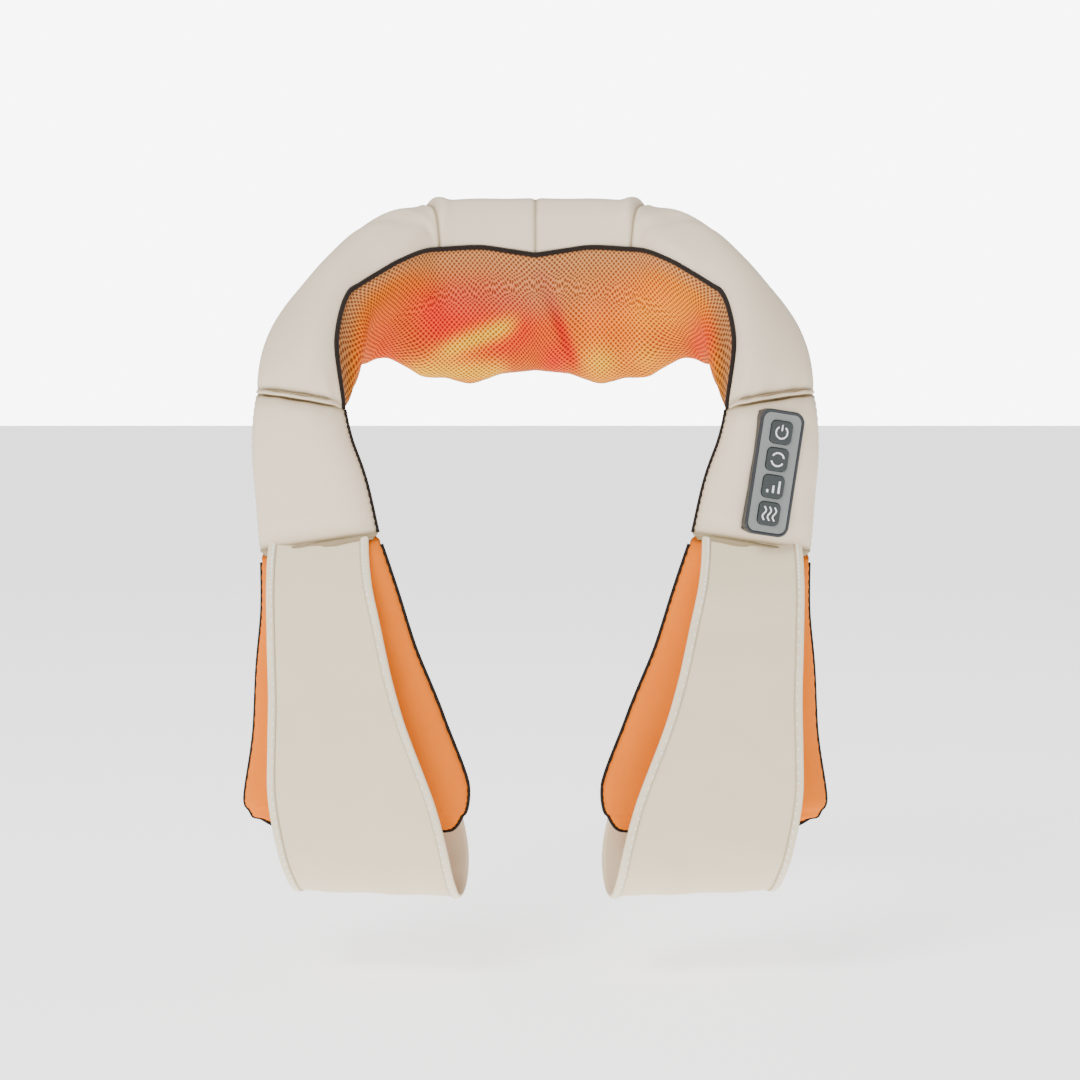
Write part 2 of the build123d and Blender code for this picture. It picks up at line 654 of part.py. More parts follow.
def drive_shaft():
    shaft = along_x(MOTOR_SHAFT_R - 0.01, -79.4, 79.4)
    write("motor_shaft", shaft)
    rotor = along_x(MOTOR_R - 2, -13, 13) - along_x(MOTOR_SHAFT_R, -14, 14)
    for turn in (0, 120, 240):
        slot = Pos(0, 0, MOTOR_R - 2) * Box(27, 3, 6)
        rotor -= Pos(0, GEAR_Y, WORM_Z) * Rot(turn, 0, 0) * slot
    write("motor_rotor", rotor)
    write_pair("worm", mirrored(Pos(-HEAD_X, GEAR_Y, WORM_Z) * Rot(0, 90, 0) * worm()))


def massage_heads():
    write_pair("worm_wheel", on_head_axis(worm_wheel(), GEAR_Y))
    write_pair("output_shaft", output_shaft())
    write_pair("node_carrier", node_carrier())
    write_pair("massage_nodes", massage_nodes())
    write_pair("carrier_screw", pan_screw(SCREW_R, 3.2, CARRIER_Y[0], CARRIER_Y[0] + 9, HEAD_X, HEAD_Z))


def control_panel():
    write("control_panel_base", control_panel_base())
    write("control_panel_face", control_panel_face())
    write("key_board", key_board())
    for name, height in zip(("power", "direction", "speed", "heat"), key_heights()):
        write(f"{name}_key", key(height))


collar_mechanism()
drive_shaft()
massage_heads()
shell_of_collar()
arms()
pads()
write_pair("hand_strap", hand_strap())
control_panel()
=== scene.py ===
import json
from math import copysign, cos, exp, floor, pi, radians, sin, sqrt

import bmesh
import bpy
from bpy.props import FloatProperty, FloatVectorProperty, PointerProperty
from mathutils import Matrix, Vector, noise


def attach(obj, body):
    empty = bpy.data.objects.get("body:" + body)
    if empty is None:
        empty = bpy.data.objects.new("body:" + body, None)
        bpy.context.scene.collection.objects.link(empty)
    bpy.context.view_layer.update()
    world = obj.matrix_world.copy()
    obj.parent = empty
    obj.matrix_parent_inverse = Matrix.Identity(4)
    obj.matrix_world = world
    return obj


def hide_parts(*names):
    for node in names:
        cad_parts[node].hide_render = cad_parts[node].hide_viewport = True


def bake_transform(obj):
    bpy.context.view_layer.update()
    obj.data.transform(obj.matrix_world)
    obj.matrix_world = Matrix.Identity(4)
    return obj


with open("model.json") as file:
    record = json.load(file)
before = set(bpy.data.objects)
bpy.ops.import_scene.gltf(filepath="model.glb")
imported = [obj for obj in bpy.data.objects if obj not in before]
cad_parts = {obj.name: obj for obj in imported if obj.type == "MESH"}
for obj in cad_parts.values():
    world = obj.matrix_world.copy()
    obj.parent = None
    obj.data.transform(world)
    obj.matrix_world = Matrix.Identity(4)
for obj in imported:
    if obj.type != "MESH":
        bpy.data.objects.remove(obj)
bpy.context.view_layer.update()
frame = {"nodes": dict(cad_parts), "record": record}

bl_info = {
    "name": "Neck Massager Builder",
    "version": (1, 0, 0),
    "blender": (4, 5, 0),
    "location": "3D View > Sidebar > Massager",
    "description": "Sews the covers, straps and trims of a neck massager around its frame",
    "category": "Object",
}

MM = 0.001
SIDES = {"left": -1, "right": 1}


# ---------------------------------------------------------------- the stage, in metres and watts

WORLD_LIGHT = 0.5
WORLD_SEEN = 8.0                                   # how bright the backdrop looks to the camera
FLOOR_GLOW = 1.7
FLOOR_HEIGHT = -0.47
LIGHTS_AIM = Vector((0, -0.03, -0.15))
LAMPS = [                                          # name, place, size, power
    ("key", (-1.0, -1.6, 1.7), 1.0, 58),
    ("fill", (1.7, -1.5, 0.6), 1.8, 6),
    ("top", (0.1, 0.5, 1.9), 1.4, 14),
]
CAMERA_AIM = Vector((0.0033, -0.020, -0.167))
CAMERA_DISTANCE = 2.2
CAMERA_RISE = 4                                    # degrees above the level
CAMERA_LENS, CAMERA_SENSOR = 101, 36               # millimetres


# ---------------------------------------------------------------- the sewing pattern, in millimetres

# Stations of a stuffed tube: centre, direction out of the leather face, width, depth, squareness
COLLAR_STATIONS = [
    ((0, 39, 18), (0, 1, 0), 128, 78, 3.6),
    ((40, 37.5, 15), (0.05, 1, 0), 134, 78, 3.6),
    ((86, 29, 13), (0.28, 0.93, 0.15), 127, 74, 3.3),
    ((125, 8, 10), (0.52, 0.60, 0.60), 104, 66, 2.8),
    ((150, -22, -6), (0.66, 0.08, 0.75), 80, 58, 2.6),
    ((162, -54, -32), (0.58, -0.55, 0.60), 66, 50, 2.5),
    ((165, -80, -62), (0.30, -0.95, 0.15), 64, 44, 2.4),
]
ARM_STATIONS = [
    ((165, -82, -66), (0.27, -0.96, 0.08), 65, 44, 2.4),
    ((163, -88, -97), (0.22, -0.97, 0.0), 74, 42, 2.4),
    ((157, -90, -130), (0.20, -0.98, 0.0), 81, 40, 2.4),
    ((152, -92, -163), (0.20, -0.98, 0.0), 86, 36, 2.4),
]
PAD_STATIONS = [
    ((151, -92, -167), (0.20, -0.98, 0.0), 86, 30, 2.2),
    ((144, -92, -210), (0.20, -0.98, 0.0), 101, 30, 2.2),
    ((139, -92, -254), (0.20, -0.98, 0.0), 120, 32, 2.2),
    ((132, -92, -298), (0.20, -0.98, 0.0), 141, 32, 2.2),
    ((127, -92, -340), (0.20, -0.98, 0.0), 163, 30, 2.2),
    ((126, -92, -357), (0.20, -0.98, 0.0), 155, 22, 2.2),
    ((126, -92, -366), (0.20, -0.98, 0.0), 128, 10, 2.2),
]
PIPING_ANGLES = [-82, -76.5, -67, -34, 0, 12, 3]   # where the mesh ends, at collar stations 0 to 6
LEATHER_EDGE = 0.8                                 # angle from the piping to the leather's edge
MESH_EDGE = 359.3                                  # angle of the mesh's edge where the piping's is 0
BACK_SEAM = 187.5                                  # angle of the seam behind, between leather and mesh
STATION_STEP = 42                                  # mean length from one collar station to the next
COLLAR_END = 6.09                                  # the shoulder leather reaches down to the arm
PANEL_SEAM = 1.8                                   # station of the seam that ends the collar panel
SEAM_TAPER = 20                                    # length over which a limb thins down to its seam
SEAM_SHARE = 0.45                                  # how thick it still is there
SEAM_SLANT = 8.5                                   # how far the arm's seam drops to its inner end
CORNER = 24                                        # radius of a hand pad's lower corners
TUCK = 0.13                                        # how far a limb's end is tucked under its neighbour
COLLAR_CORD, LIMB_CORD = 1.8, 1.5                  # radius of the piping
COLLAR_WAVE, MESH_WAVE, LIMB_WAVE, STRAP_WAVE = 34, 20, 30, 26      # length of each cover's waves

# Height of the collar's lower edge at distances from its middle
LOWER_EDGE = [(0, -45), (25, -47.5), (38, -52), (48, -54.5), (58, -52.5), (66, -50), (76, -49.5),
              (84, -48), (92, -43), (100, -38.5), (110, -34), (122, -36), (134, -45)]
HEAD_CENTRE = (64, -12)
NODE_REACH = 15.5                                  # from a head's axis to its nodes, along X and Z

# The power inlet's profile as (radius, height), and the place of its axis in metres
INLET_PROFILE = [(2.85, -34), (2.85, -44.2), (3.6, -45.0), (6.6, -45.0), (7.4, -44.4), (7.4, -43.4),
                 (5.5, -43.2), (5.5, -30), (4.6, -29.2), (1.2, -29.2), (1.2, -34)]
INLET_PLACE = (0, 0.046, 0)

# A hand strap's line as (out, up), and its inner and outer edges as (height, distance)
STRAP_LINE = [(9, -159), (14.5, -168), (21, -182), (27.5, -202), (34.5, -250), (39, -305), (39, -350),
              (33, -386), (15, -408), (-8, -408), (-23, -390), (-26, -360), (-22.5, -330), (-19.8, -312)]
STRAP_INNER = [(-160, -24), (-280, -55), (-350, -83), (-392, -91), (-420, -91)]
STRAP_OUTER = [(-160, 46), (-280, 39), (-350, 40), (-392, 30), (-420, 28)]
STRAP_ORIGIN = Vector((140, -92, 0))
STRAP_OUT = Vector((0.2, -0.98, 0)).normalized()
STRAP_SIDE = Vector((0.98, 0.2, 0)).normalized()

# The control panel: its middle, the way that it faces, its top edge's way, and the keys on it
PANEL_CENTRE = Vector((166, -109.2, -114))
PANEL_OUT = Vector((0.29, -0.957, 0)).normalized()
PANEL_UP = Vector((0.151, 0.045, 0.988)).normalized()
KEY_TOP = 3.1
KEY_HEIGHTS = {"power": 28.5, "direction": 9.5, "speed": -9.5, "heat": -28.5}


# ---------------------------------------------------------------- curves and skins

def between(values, s):
    """Value at s along evenly numbered stations, smooth through all of them."""
    i = min(max(int(floor(s)), 0), len(values) - 2)
    t = s - i
    here, there = values[i], values[i + 1]
    before = values[i - 1] if i else here * 2 - there
    after = values[i + 2] if i + 2 < len(values) else there * 2 - here
    return (here * (2 * t**3 - 3 * t**2 + 1) + there * (3 * t**2 - 2 * t**3)
            + (there - before) * (0.5 * (t**3 - 2 * t**2 + t))
            + (after - here) * (0.5 * (t**3 - t**2)))


def look_up(table, x):
    """Smooth value of a table of (x, value) pairs, in rising or falling order of x."""
    rows = sorted(table)
    if x <= rows[0][0]:
        return rows[0][1]
    for i in range(len(rows) - 1):
        (low, _), (high, _) = rows[i], rows[i + 1]
        if x <= high:
            return between([value for _, value in rows], i + (x - low) / (high - low))
    return rows[-1][1]


def hill(distance, width):
    """1 at no distance, falling away on both sides."""
    return exp(-(distance / width) ** 2)


def smooth(value, low, high):
    """Rises gently from 0 at low to 1 at high."""
    t = min(1, max(0, (value - low) / (high - low)))
    return t * t * (3 - 2 * t)


def crowd(u, amount=0.75):
    """Moves evenly spaced numbers from 0 to 1 towards both ends."""
    return u - amount * sin(2 * pi * u) / (2 * pi)


class Skin:
    """The outer surface of a stuffed tube, tapered to its seams or closed below."""

    def __init__(self, stations, mirrored=False, taper=(True, True), closed=False,
                 share=SEAM_SHARE, turn_to=None):
        rows = [(Vector(c), Vector(o), w, d, p) for c, o, w, d, p in stations]
        self.first = 0
        if mirrored:
            flip = Vector((-1, 1, 1))
            rows = [(c * flip, o * flip, w, d, p) for c, o, w, d, p in reversed(rows[1:])] + rows
            self.first = 1 - len(stations)
        self.rows = [list(column) for column in zip(*rows)]
        self.taper = taper
        self.closed = closed
        self.share = share
        self.turn_to = turn_to

    def section(self, s):
        """Centre, inner way, outer way, half width, half depth and squareness at station s."""
        at = s - self.first
        centre, out, width, depth, power = [between(row, at) for row in self.rows]
        along = (between(self.rows[0], at + 0.01) - between(self.rows[0], at - 0.01)).normalized()
        if self.turn_to:
            heading = Vector(self.turn_to) * Vector((1, 1, 1) if s > 0 else (1, -1, -1))
            along = along.lerp(heading, smooth(abs(s), 4.9, 6)).normalized()
        out = (out - along * out.dot(along)).normalized()
        half = depth / 2
        for tapers, seam in zip(self.taper, (self.rows[0][0], self.rows[0][-1])):
            reach = (centre - seam).length / SEAM_TAPER
            if tapers and reach < 1:
                half *= self.share + (1 - self.share) * sqrt(1 - (1 - reach) ** 2)
        if self.closed:
            last = len(self.rows[0]) - 1
            half *= sqrt(max(0, 1 - smooth(at, last - 0.9, last) ** 2))
            above = max(0.0, centre.z - self.rows[0][-1].z)
            if above < CORNER:
                width = self.rows[2][4] - 2 * (CORNER - sqrt(CORNER**2 - (CORNER - above) ** 2))
        return centre, along.cross(out), out, width / 2, half, power

    def point(self, s, angle, lift=0.0):
        """A point at an angle round the section: 0 is its inner edge, 90 the leather face."""
        centre, edge, out, half_width, half_depth, power = self.section(s)
        a, b = cos(radians(angle)), sin(radians(angle))
        spot = (edge * copysign(abs(a) ** (2 / power), a) * half_width
                + out * copysign(abs(b) ** (2 / power), b) * half_depth)
        away = (edge * a / half_width + out * b / max(half_depth, 1)).normalized()
        return centre + spot + away * lift


collar = Skin(COLLAR_STATIONS, mirrored=True, turn_to=(-0.063, -0.19, -0.98))
arm = Skin(ARM_STATIONS)
pad = Skin(PAD_STATIONS, taper=(True, False), closed=True, share=0.25)

NATURAL_EDGE = [(p.x, p.z) for p in (collar.point(0.1 * i, 180) for i in range(41))]


def gathered(spot):
    """Moves a point of the collar to where the stretched mesh pulls its lower edge."""
    x = abs(spot.x)
    natural = look_up(NATURAL_EDGE, x)
    share = smooth(8 - spot.z, 0, 8 - natural) * (1 - smooth(x, 118, 140))
    return spot + Vector((0, 0, (look_up(LOWER_EDGE, x) - natural) * share))


def slanted(spot):
    """Moves a point near the arm's seam, so that the seam slopes down to its inner end."""
    share = hill(spot.z + 64, 30) * smooth(-spot.y, 20, 50)
    return spot + Vector((0, 0, -SEAM_SLANT * (165 - abs(spot.x)) / 32 * share))


def unevenness(spot, size, depth):
    """How far waves of this size lift a cover."""
    return depth * noise.noise(spot / size)


# ---------------------------------------------------------------- making pieces

def finished(name, bm, material):
    """The mesh as an object with one finish, smooth shaded."""
    mesh = bpy.data.meshes.new(name)
    bm.to_mesh(mesh)
    bm.free()
    mesh.materials.append(material)
    mesh.shade_smooth()
    piece = bpy.data.objects.new(name, mesh)
    bpy.context.scene.collection.objects.link(piece)
    return piece


def sheet_of(name, counts, place, centre, material, thickness, side=1, unroll=None):
    """A skin from a grid: place(u, v) gives a point, how deep it lies in the painted shade of seams and
    folds, and its colour.
    """
    bm = bmesh.new()
    bmesh.ops.create_grid(bm, x_segments=counts[0], y_segments=counts[1], size=0.5)
    # Layers for the painted shade of seams and folds, and for a colour that may carry painted glow
    crease_shade = bm.verts.layers.float.new("crease_shade")
    tint_and_painted_light = bm.verts.layers.float_color.new("tint_and_painted_light")
    uv = bm.loops.layers.uv.new("UVMap")
    for face in bm.faces:
        for loop in face.loops:
            u, v = loop.vert.co.x + 0.5, loop.vert.co.y + 0.5
            loop[uv].uv = unroll(u, v) if unroll else (u, v)
    for vert in bm.verts:
        spot, vert[crease_shade], colour = place(vert.co.x + 0.5, vert.co.y + 0.5)
        vert[tint_and_painted_light] = (*colour, 1)
        vert.co = Vector((spot.x * side, spot.y, spot.z)) * MM
    bm.normal_update()
    bm.faces.ensure_lookup_table()
    within = Vector((centre.x * side, centre.y, centre.z)) * MM
    if sum((f.calc_center_median() - within).dot(f.normal) * f.calc_area() for f in bm.faces) < 0:
        bmesh.ops.reverse_faces(bm, faces=bm.faces[:])
    piece = finished(name, bm, material)
    if thickness:
        wall = piece.modifiers.new("Wall", "SOLIDIFY")
        wall.thickness = thickness * MM
        wall.offset = -1
    return piece


def tube(name, points, radius, material, side=1, sides=4):
    """A round cord through points."""
    curve = bpy.data.curves.new(name, "CURVE")
    curve.dimensions = "3D"
    curve.bevel_depth = radius * MM
    curve.bevel_resolution = sides
    curve.use_fill_caps = True
    spline = curve.splines.new("NURBS")
    spline.points.add(len(points) - 1)
    for knot, p in zip(spline.points, points):
        knot.co = (p.x * side * MM, p.y * MM, p.z * MM, 1)
    spline.order_u = 3
    spline.use_endpoint_u = True
    spline.resolution_u = 3
    carrier = bpy.data.objects.new(name + "_line", curve)
    bpy.context.scene.collection.objects.link(carrier)
    bpy.context.view_layer.update()
    depsgraph = bpy.context.evaluated_depsgraph_get()
    mesh = bpy.data.meshes.new_from_object(carrier.evaluated_get(depsgraph))
    bpy.data.objects.remove(carrier)
    bm = bmesh.new()
    bm.from_mesh(mesh)
    bmesh.ops.remove_doubles(bm, verts=bm.verts[:], dist=1e-6)
    bmesh.ops.recalc_face_normals(bm, faces=bm.faces[:])
    bpy.data.meshes.remove(mesh)
    return finished(name, bm, material)


def joined(name, pieces):
    """One object from several."""
    bm = bmesh.new()
    for piece in pieces:
        bm.from_mesh(piece.data)
    material = pieces[0].data.materials[0]
    for piece in pieces:
        bpy.data.objects.remove(piece)
    return finished(name, bm, material)


def bend_with_arm(piece, side):
    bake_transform(piece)


def bend_with_pad(piece, side):
    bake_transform(piece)


# ---------------------------------------------------------------- finishes

def linear(r, g, b):
    """A display colour from 0 to 255 as a shader colour."""
    return tuple(c / 255 / 12.92 if c <= 10 else ((c / 255 + 0.055) / 1.055) ** 2.4
                 for c in (r, g, b))


def vivid(colour, amount):
    """The colour further from grey."""
    grey = sum(colour) / 3
    return tuple(min(1, max(0.002, grey + (c - grey) * amount)) for c in colour)


def toward(colour, other, share):
    """The colour mixed with a share of another."""
    return tuple(c + (o - c) * min(1, max(0, share)) for c, o in zip(colour, other))


class Value:
    """A shader socket; arithmetic on it adds Math nodes."""

    def __init__(self, graph, socket):
        self.graph, self.socket = graph, socket

    def maths(self, operation, *terms):
        return self.graph.add("ShaderNodeMath", {"operation": operation}, dict(enumerate(terms)))

    def __add__(self, other):
        return self.maths("ADD", self, other)

    def __radd__(self, other):
        return self.maths("ADD", other, self)

    def __sub__(self, other):
        return self.maths("SUBTRACT", self, other)

    def __rsub__(self, other):
        return self.maths("SUBTRACT", other, self)

    def __mul__(self, other):
        return self.maths("MULTIPLY", self, other)

    def __rmul__(self, other):
        return self.maths("MULTIPLY", other, self)

    def sine(self):
        return self.maths("SINE", self)

    def clamped(self):
        return self.graph.add("ShaderNodeClamp", {}, {"Value": self})


class Graph:
    """A material's nodes."""

    def __init__(self, name):
        self.material = bpy.data.materials.new(name)
        self.material.use_nodes = True
        self.nodes = self.material.node_tree.nodes
        self.shader = self.nodes["Principled BSDF"]

    def add(self, kind, settings, inputs, output=0):
        node = self.nodes.new(kind)
        for key, value in settings.items():
            setattr(node, key, value)
        self.fill(node, inputs)
        return Value(self, node.outputs[output])

    def fill(self, node, inputs):
        for key, value in inputs.items():
            if isinstance(value, Value):
                self.material.node_tree.links.new(value.socket, node.inputs[key])
            else:
                node.inputs[key].default_value = value

    def surface(self, **inputs):
        self.fill(self.shader, {key.replace("_", " "): value for key, value in inputs.items()})
        return self.material

    def place(self):
        return self.add("ShaderNodeTexCoord", {}, {}, "Object")

    def flat_place(self):
        return self.add("ShaderNodeUVMap", {"uv_map": "UVMap"}, {})

    def split(self, vector):
        """The three numbers of a vector."""
        whole = self.add("ShaderNodeSeparateXYZ", {}, {"Vector": vector})
        return [Value(self, part) for part in whole.socket.node.outputs]

    def mark(self, name, output="Fac"):
        return self.add("ShaderNodeAttribute", {"attribute_name": name}, {}, output)

    def noise(self, scale, detail):
        return self.add("ShaderNodeTexNoise", {},
                        {"Vector": self.place(), "Scale": scale, "Detail": detail})

    def cells(self, scale):
        return self.add("ShaderNodeTexVoronoi", {}, {"Vector": self.place(), "Scale": scale})

    def blend(self, share, first, second):
        ends = {6: first if isinstance(first, Value) else (*first, 1),
                7: second if isinstance(second, Value) else (*second, 1)}
        return self.add("ShaderNodeMix", {"data_type": "RGBA"}, {0: share, **ends}, 2)

    def shades(self, share, colour, dark, light):
        """From a darker to a lighter shade of a colour."""
        return self.blend(share, [c * dark for c in colour], [min(1, c * light) for c in colour])

    def stained(self, colour, stain):
        return self.add("ShaderNodeMix", {"data_type": "RGBA", "blend_type": "MULTIPLY"},
                        {0: 1.0, 6: colour, 7: (*stain, 1)}, 2)

    def bump(self, height, distance, strength):
        return self.add("ShaderNodeBump", {},
                        {"Height": height, "Distance": distance, "Strength": strength})


def leather(name, colour, crease_shade_colour, roughness=0.46):
    """Soft leather with a fine pebble grain, and painted shade in its creases."""
    g = Graph(name)
    crease_shade = g.mark("crease_shade")
    patchy = (g.noise(28, 4) - 0.5) * 0.5
    shade = g.shades((patchy + 0.5).clamped(), colour, 0.955, 1.03)
    grain = g.cells(1100) * 0.6 + g.noise(420, 5) * 0.5
    # Painted shade: the colour turns to the crease colour in seams and folds
    return g.surface(Base_Color=g.blend(crease_shade.clamped(), shade, crease_shade_colour),
                     Roughness=roughness - 0.06 + g.noise(60, 3) * 0.14,
                     Normal=g.bump(grain, 0.00022, 0.55), Specular_IOR_Level=0.42)


def woven(name, colour, dark, thread, roughness, sheen=0.1):
    """Woven cloth, its threads this far apart in metres."""
    g = Graph(name)
    x, y, z = g.split(g.place())
    turn = 2 * pi / thread
    weave = ((x + y * 0.3) * turn).sine() * (z * turn).sine()
    worn = g.noise(35, 4)
    crease_shade = g.mark("crease_shade")
    tint = g.shades((worn * 0.7 + weave * 0.12).clamped(), colour, 0.86, 1.08)
    height = weave * 0.5 + g.noise(300, 3) * 0.6
    # Painted shade: the cloth turns to its dark colour in seams and folds
    return g.surface(Base_Color=g.blend((crease_shade * 0.8).clamped(), tint, dark),
                     Roughness=roughness, Normal=g.bump(height, 0.00025, 0.6),
                     Sheen_Weight=sheen, Sheen_Roughness=0.5, Specular_IOR_Level=0.15)


def knitted_mesh(name, pitch):
    """Spacer mesh with a staggered lattice of small holes."""
    g = Graph(name)
    u, v, _ = g.split(g.flat_place())
    wobble = (g.noise(60, 2) - 0.5) * 0.0016
    rows = ((u + wobble) * (2 * pi / pitch)).sine()
    lattice = rows * ((v + wobble) * (2 * pi / (pitch * 1.12))).sine()
    hole_with_painted_shade = ((lattice - 0.02) * 2.8).clamped()
    strand_with_painted_highlight = ((0.0 - lattice) * 1.4).clamped()
    # The mesh's tan with its painted glow and painted shade, from the sheet's colour layer
    tint_and_painted_light = g.mark("tint_and_painted_light", "Color")
    # Painted shade: the holes are coloured dark brown, as though seen into shade
    painted_shade_colour = g.stained(tint_and_painted_light, (0.30, 0.16, 0.10))
    # Painted highlight: the raised strands between the holes are lighter and whiter
    yarn_with_painted_highlight = g.blend(strand_with_painted_highlight, tint_and_painted_light, g.stained(tint_and_painted_light, (1.10, 1.12, 1.16)))
    return g.surface(Base_Color=g.blend(hole_with_painted_shade * 0.92, yarn_with_painted_highlight, painted_shade_colour), Roughness=0.72,
                     Normal=g.bump(strand_with_painted_highlight * 0.5 - hole_with_painted_shade, 0.0006, 0.7), Specular_IOR_Level=0.12)


def moulded(name, colour, roughness, metallic=0.0, grain=900):
    """Moulded plastic, rubber or metal, with fine texture and handling marks."""
    g = Graph(name)
    marks = g.noise(45, 5)
    tint = g.shades((marks * 1.2 - 0.1).clamped(), colour, 0.9, 1.08)
    return g.surface(Base_Color=tint, Roughness=roughness - 0.05 + marks * 0.12,
                     Metallic=metallic, Normal=g.bump(g.noise(grain, 4), 0.00005, 0.5))


LOOKS = {}


def look(name):
    return LOOKS[name]


# Colour, roughness, metal and fineness of grain of the drive's and the panel's finishes
NODE_LOOKS = {
    "housing_plastic": ((196, 196, 190), 0.5, 0.0, 500),
    "plated_steel": ((176, 178, 182), 0.32, 1.0, 900),
    "bright_steel": ((205, 206, 210), 0.22, 1.0, 900),
    "rotor_iron": ((90, 84, 80), 0.5, 0.8, 700),
    "bronze": ((176, 128, 74), 0.38, 1.0, 800),
    "black_plastic": ((36, 37, 38), 0.48, 0.0, 600),
    "circuit_board": ((36, 92, 58), 0.42, 0.0, 300),
    "red_lamp": ((205, 48, 36), 0.2, 0.0, 300),
    "gear_nylon": ((228, 224, 208), 0.44, 0.0, 400),
    "node_rubber": ((206, 96, 50), 0.6, 0.0, 260),
    "panel_dark": ((38, 42, 46), 0.38, 0.0, 700),
    "panel_grey": ((122, 126, 124), 0.46, 0.0, 900),
    "key_dark": ((44, 50, 50), 0.42, 0.0, 700),
}


# ---------------------------------------------------------------- settings

class FinishSettings(bpy.types.PropertyGroup):
    """Colours of the covers and trims."""
    leather: FloatVectorProperty(
        name="Leather", description="Colour of the collar and arms",
        subtype="COLOR", default=linear(236, 216, 188), min=0, max=1)
    # Colour of the painted shade deep in seams and folds
    crease_shade: FloatVectorProperty(
        name="Crease", description="Colour deep in seams and folds",
        subtype="COLOR", default=linear(152, 134, 100), min=0, max=1)
    strap: FloatVectorProperty(
        name="Strap", description="Colour of the hand straps",
        subtype="COLOR", default=linear(230, 213, 180), min=0, max=1)
    binding: FloatVectorProperty(
        name="Binding", description="Colour of the strap hems",
        subtype="COLOR", default=linear(250, 232, 200), min=0, max=1)
    orange: FloatVectorProperty(
        name="Pad fabric", description="Colour of the hand pads",
        subtype="COLOR", default=linear(255, 128, 0), min=0, max=1)
    piping: FloatVectorProperty(
        name="Piping", description="Colour of the piping",
        subtype="COLOR", default=linear(30, 20, 13), min=0, max=1)
    hole_pitch: FloatProperty(
        name="Mesh pitch", description="Distance between holes of the mesh",
        unit="LENGTH", default=0.0034, min=0.001, max=0.01)


class PaddingSettings(bpy.types.PropertyGroup):
    """How the covers lie over their foam."""
    dimple: FloatProperty(
        name="Unevenness", description="Depth of the foam's unevenness, in millimetres",
        default=0.9, min=0, max=4)
    groove: FloatProperty(
        name="Seam depth", description="Depth of a sewn seam, in millimetres",
        default=2.0, min=0, max=5)
    lump: FloatProperty(
        name="Node lumps", description="How far the nodes push the mesh out, in millimetres",
        default=4.5, min=0, max=8)
    leather: FloatProperty(
        name="Leather", description="Thickness of the leather, in millimetres",
        default=1.3, min=0.5, max=3)


class StitchSettings(bpy.types.PropertyGroup):
    """Hems and stitches of the hand straps."""
    hem: FloatProperty(
        name="Hem", description="Width of the hem, in millimetres",
        default=6.5, min=2, max=12)
    pitch: FloatProperty(
        name="Stitch pitch", description="Distance between stitches, in millimetres",
        default=5.0, min=2, max=12)
    length: FloatProperty(
        name="Stitch length", description="Length of a stitch, in millimetres",
        default=3.2, min=1, max=10)


# ---------------------------------------------------------------- covers

def piping_angle(s):
    return between(PIPING_ANGLES, abs(s))


def collar_skin(side, name, s0, s1, nodes):
    """One leather panel of the collar, from station s0 to s1."""
    padding = bpy.context.scene.massager_padding
    shoulder_panel = s1 > PANEL_SEAM

    def place(u, v):
        s = s0 + (s1 - s0) * crowd(u)
        start = piping_angle(s) + LEATHER_EDGE
        angle = start + (BACK_SEAM - start) * crowd(v, 0.3)
        middle = abs(s) * STATION_STEP
        shoulder = (s - PANEL_SEAM) * STATION_STEP
        groove = 0.5 * hill(middle, 1.6) + hill(shoulder, 2.0)
        front = smooth(angle, -60, -5) * (1 - smooth(angle, 70, 110)) * (1 - hill(shoulder, 3.0))
        lift = -padding.groove * groove
        if shoulder_panel:
            fold = (s - 1.85) * STATION_STEP - (angle + 62) * 0.45
            run = smooth(s, 1.85, 2.1) * (1 - smooth(s, 2.6, 3.1))
            lift -= 2.0 * hill(shoulder - 6, 10) * front
            lift += run * (-1.9 * hill(fold, 4.5) + 1.3 * hill(fold + 9, 6))
        else:
            lift += 3.2 * hill(shoulder + 6.5, 5.0) * front
        to_end = (collar.section(s)[0] - collar.rows[0][-1]).length
        lift += 0.5 * sin(angle * 0.21 + s) * hill(to_end, 13)
        spot = collar.point(s, angle, lift)
        lift += unevenness(spot, COLLAR_WAVE, padding.dimple) * (1 - groove * 0.6)
        # Painted shade in the seams, and where the shoulder leather meets the arm
        crease_shade = 0.75 * hill(middle, 1.1) + 0.9 * hill(shoulder, 1.2) + 0.5 * hill(to_end, 2.4)
        return slanted(gathered(collar.point(s, angle, lift))), min(1, crease_shade), (1, 1, 1)

    centre = collar.section((s0 + s1) / 2)[0]
    piece = sheet_of(name, (110 if shoulder_panel else 60, 84), place, centre, look("leather"),
                     padding.leather, SIDES[side])
    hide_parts(*nodes)
    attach(piece, "collar")
    return piece


def mesh_fold(x, z):
    """Distance of a point of the mesh from the slanting fold in its middle."""
    return x - 4 - (28 - z) * 0.36


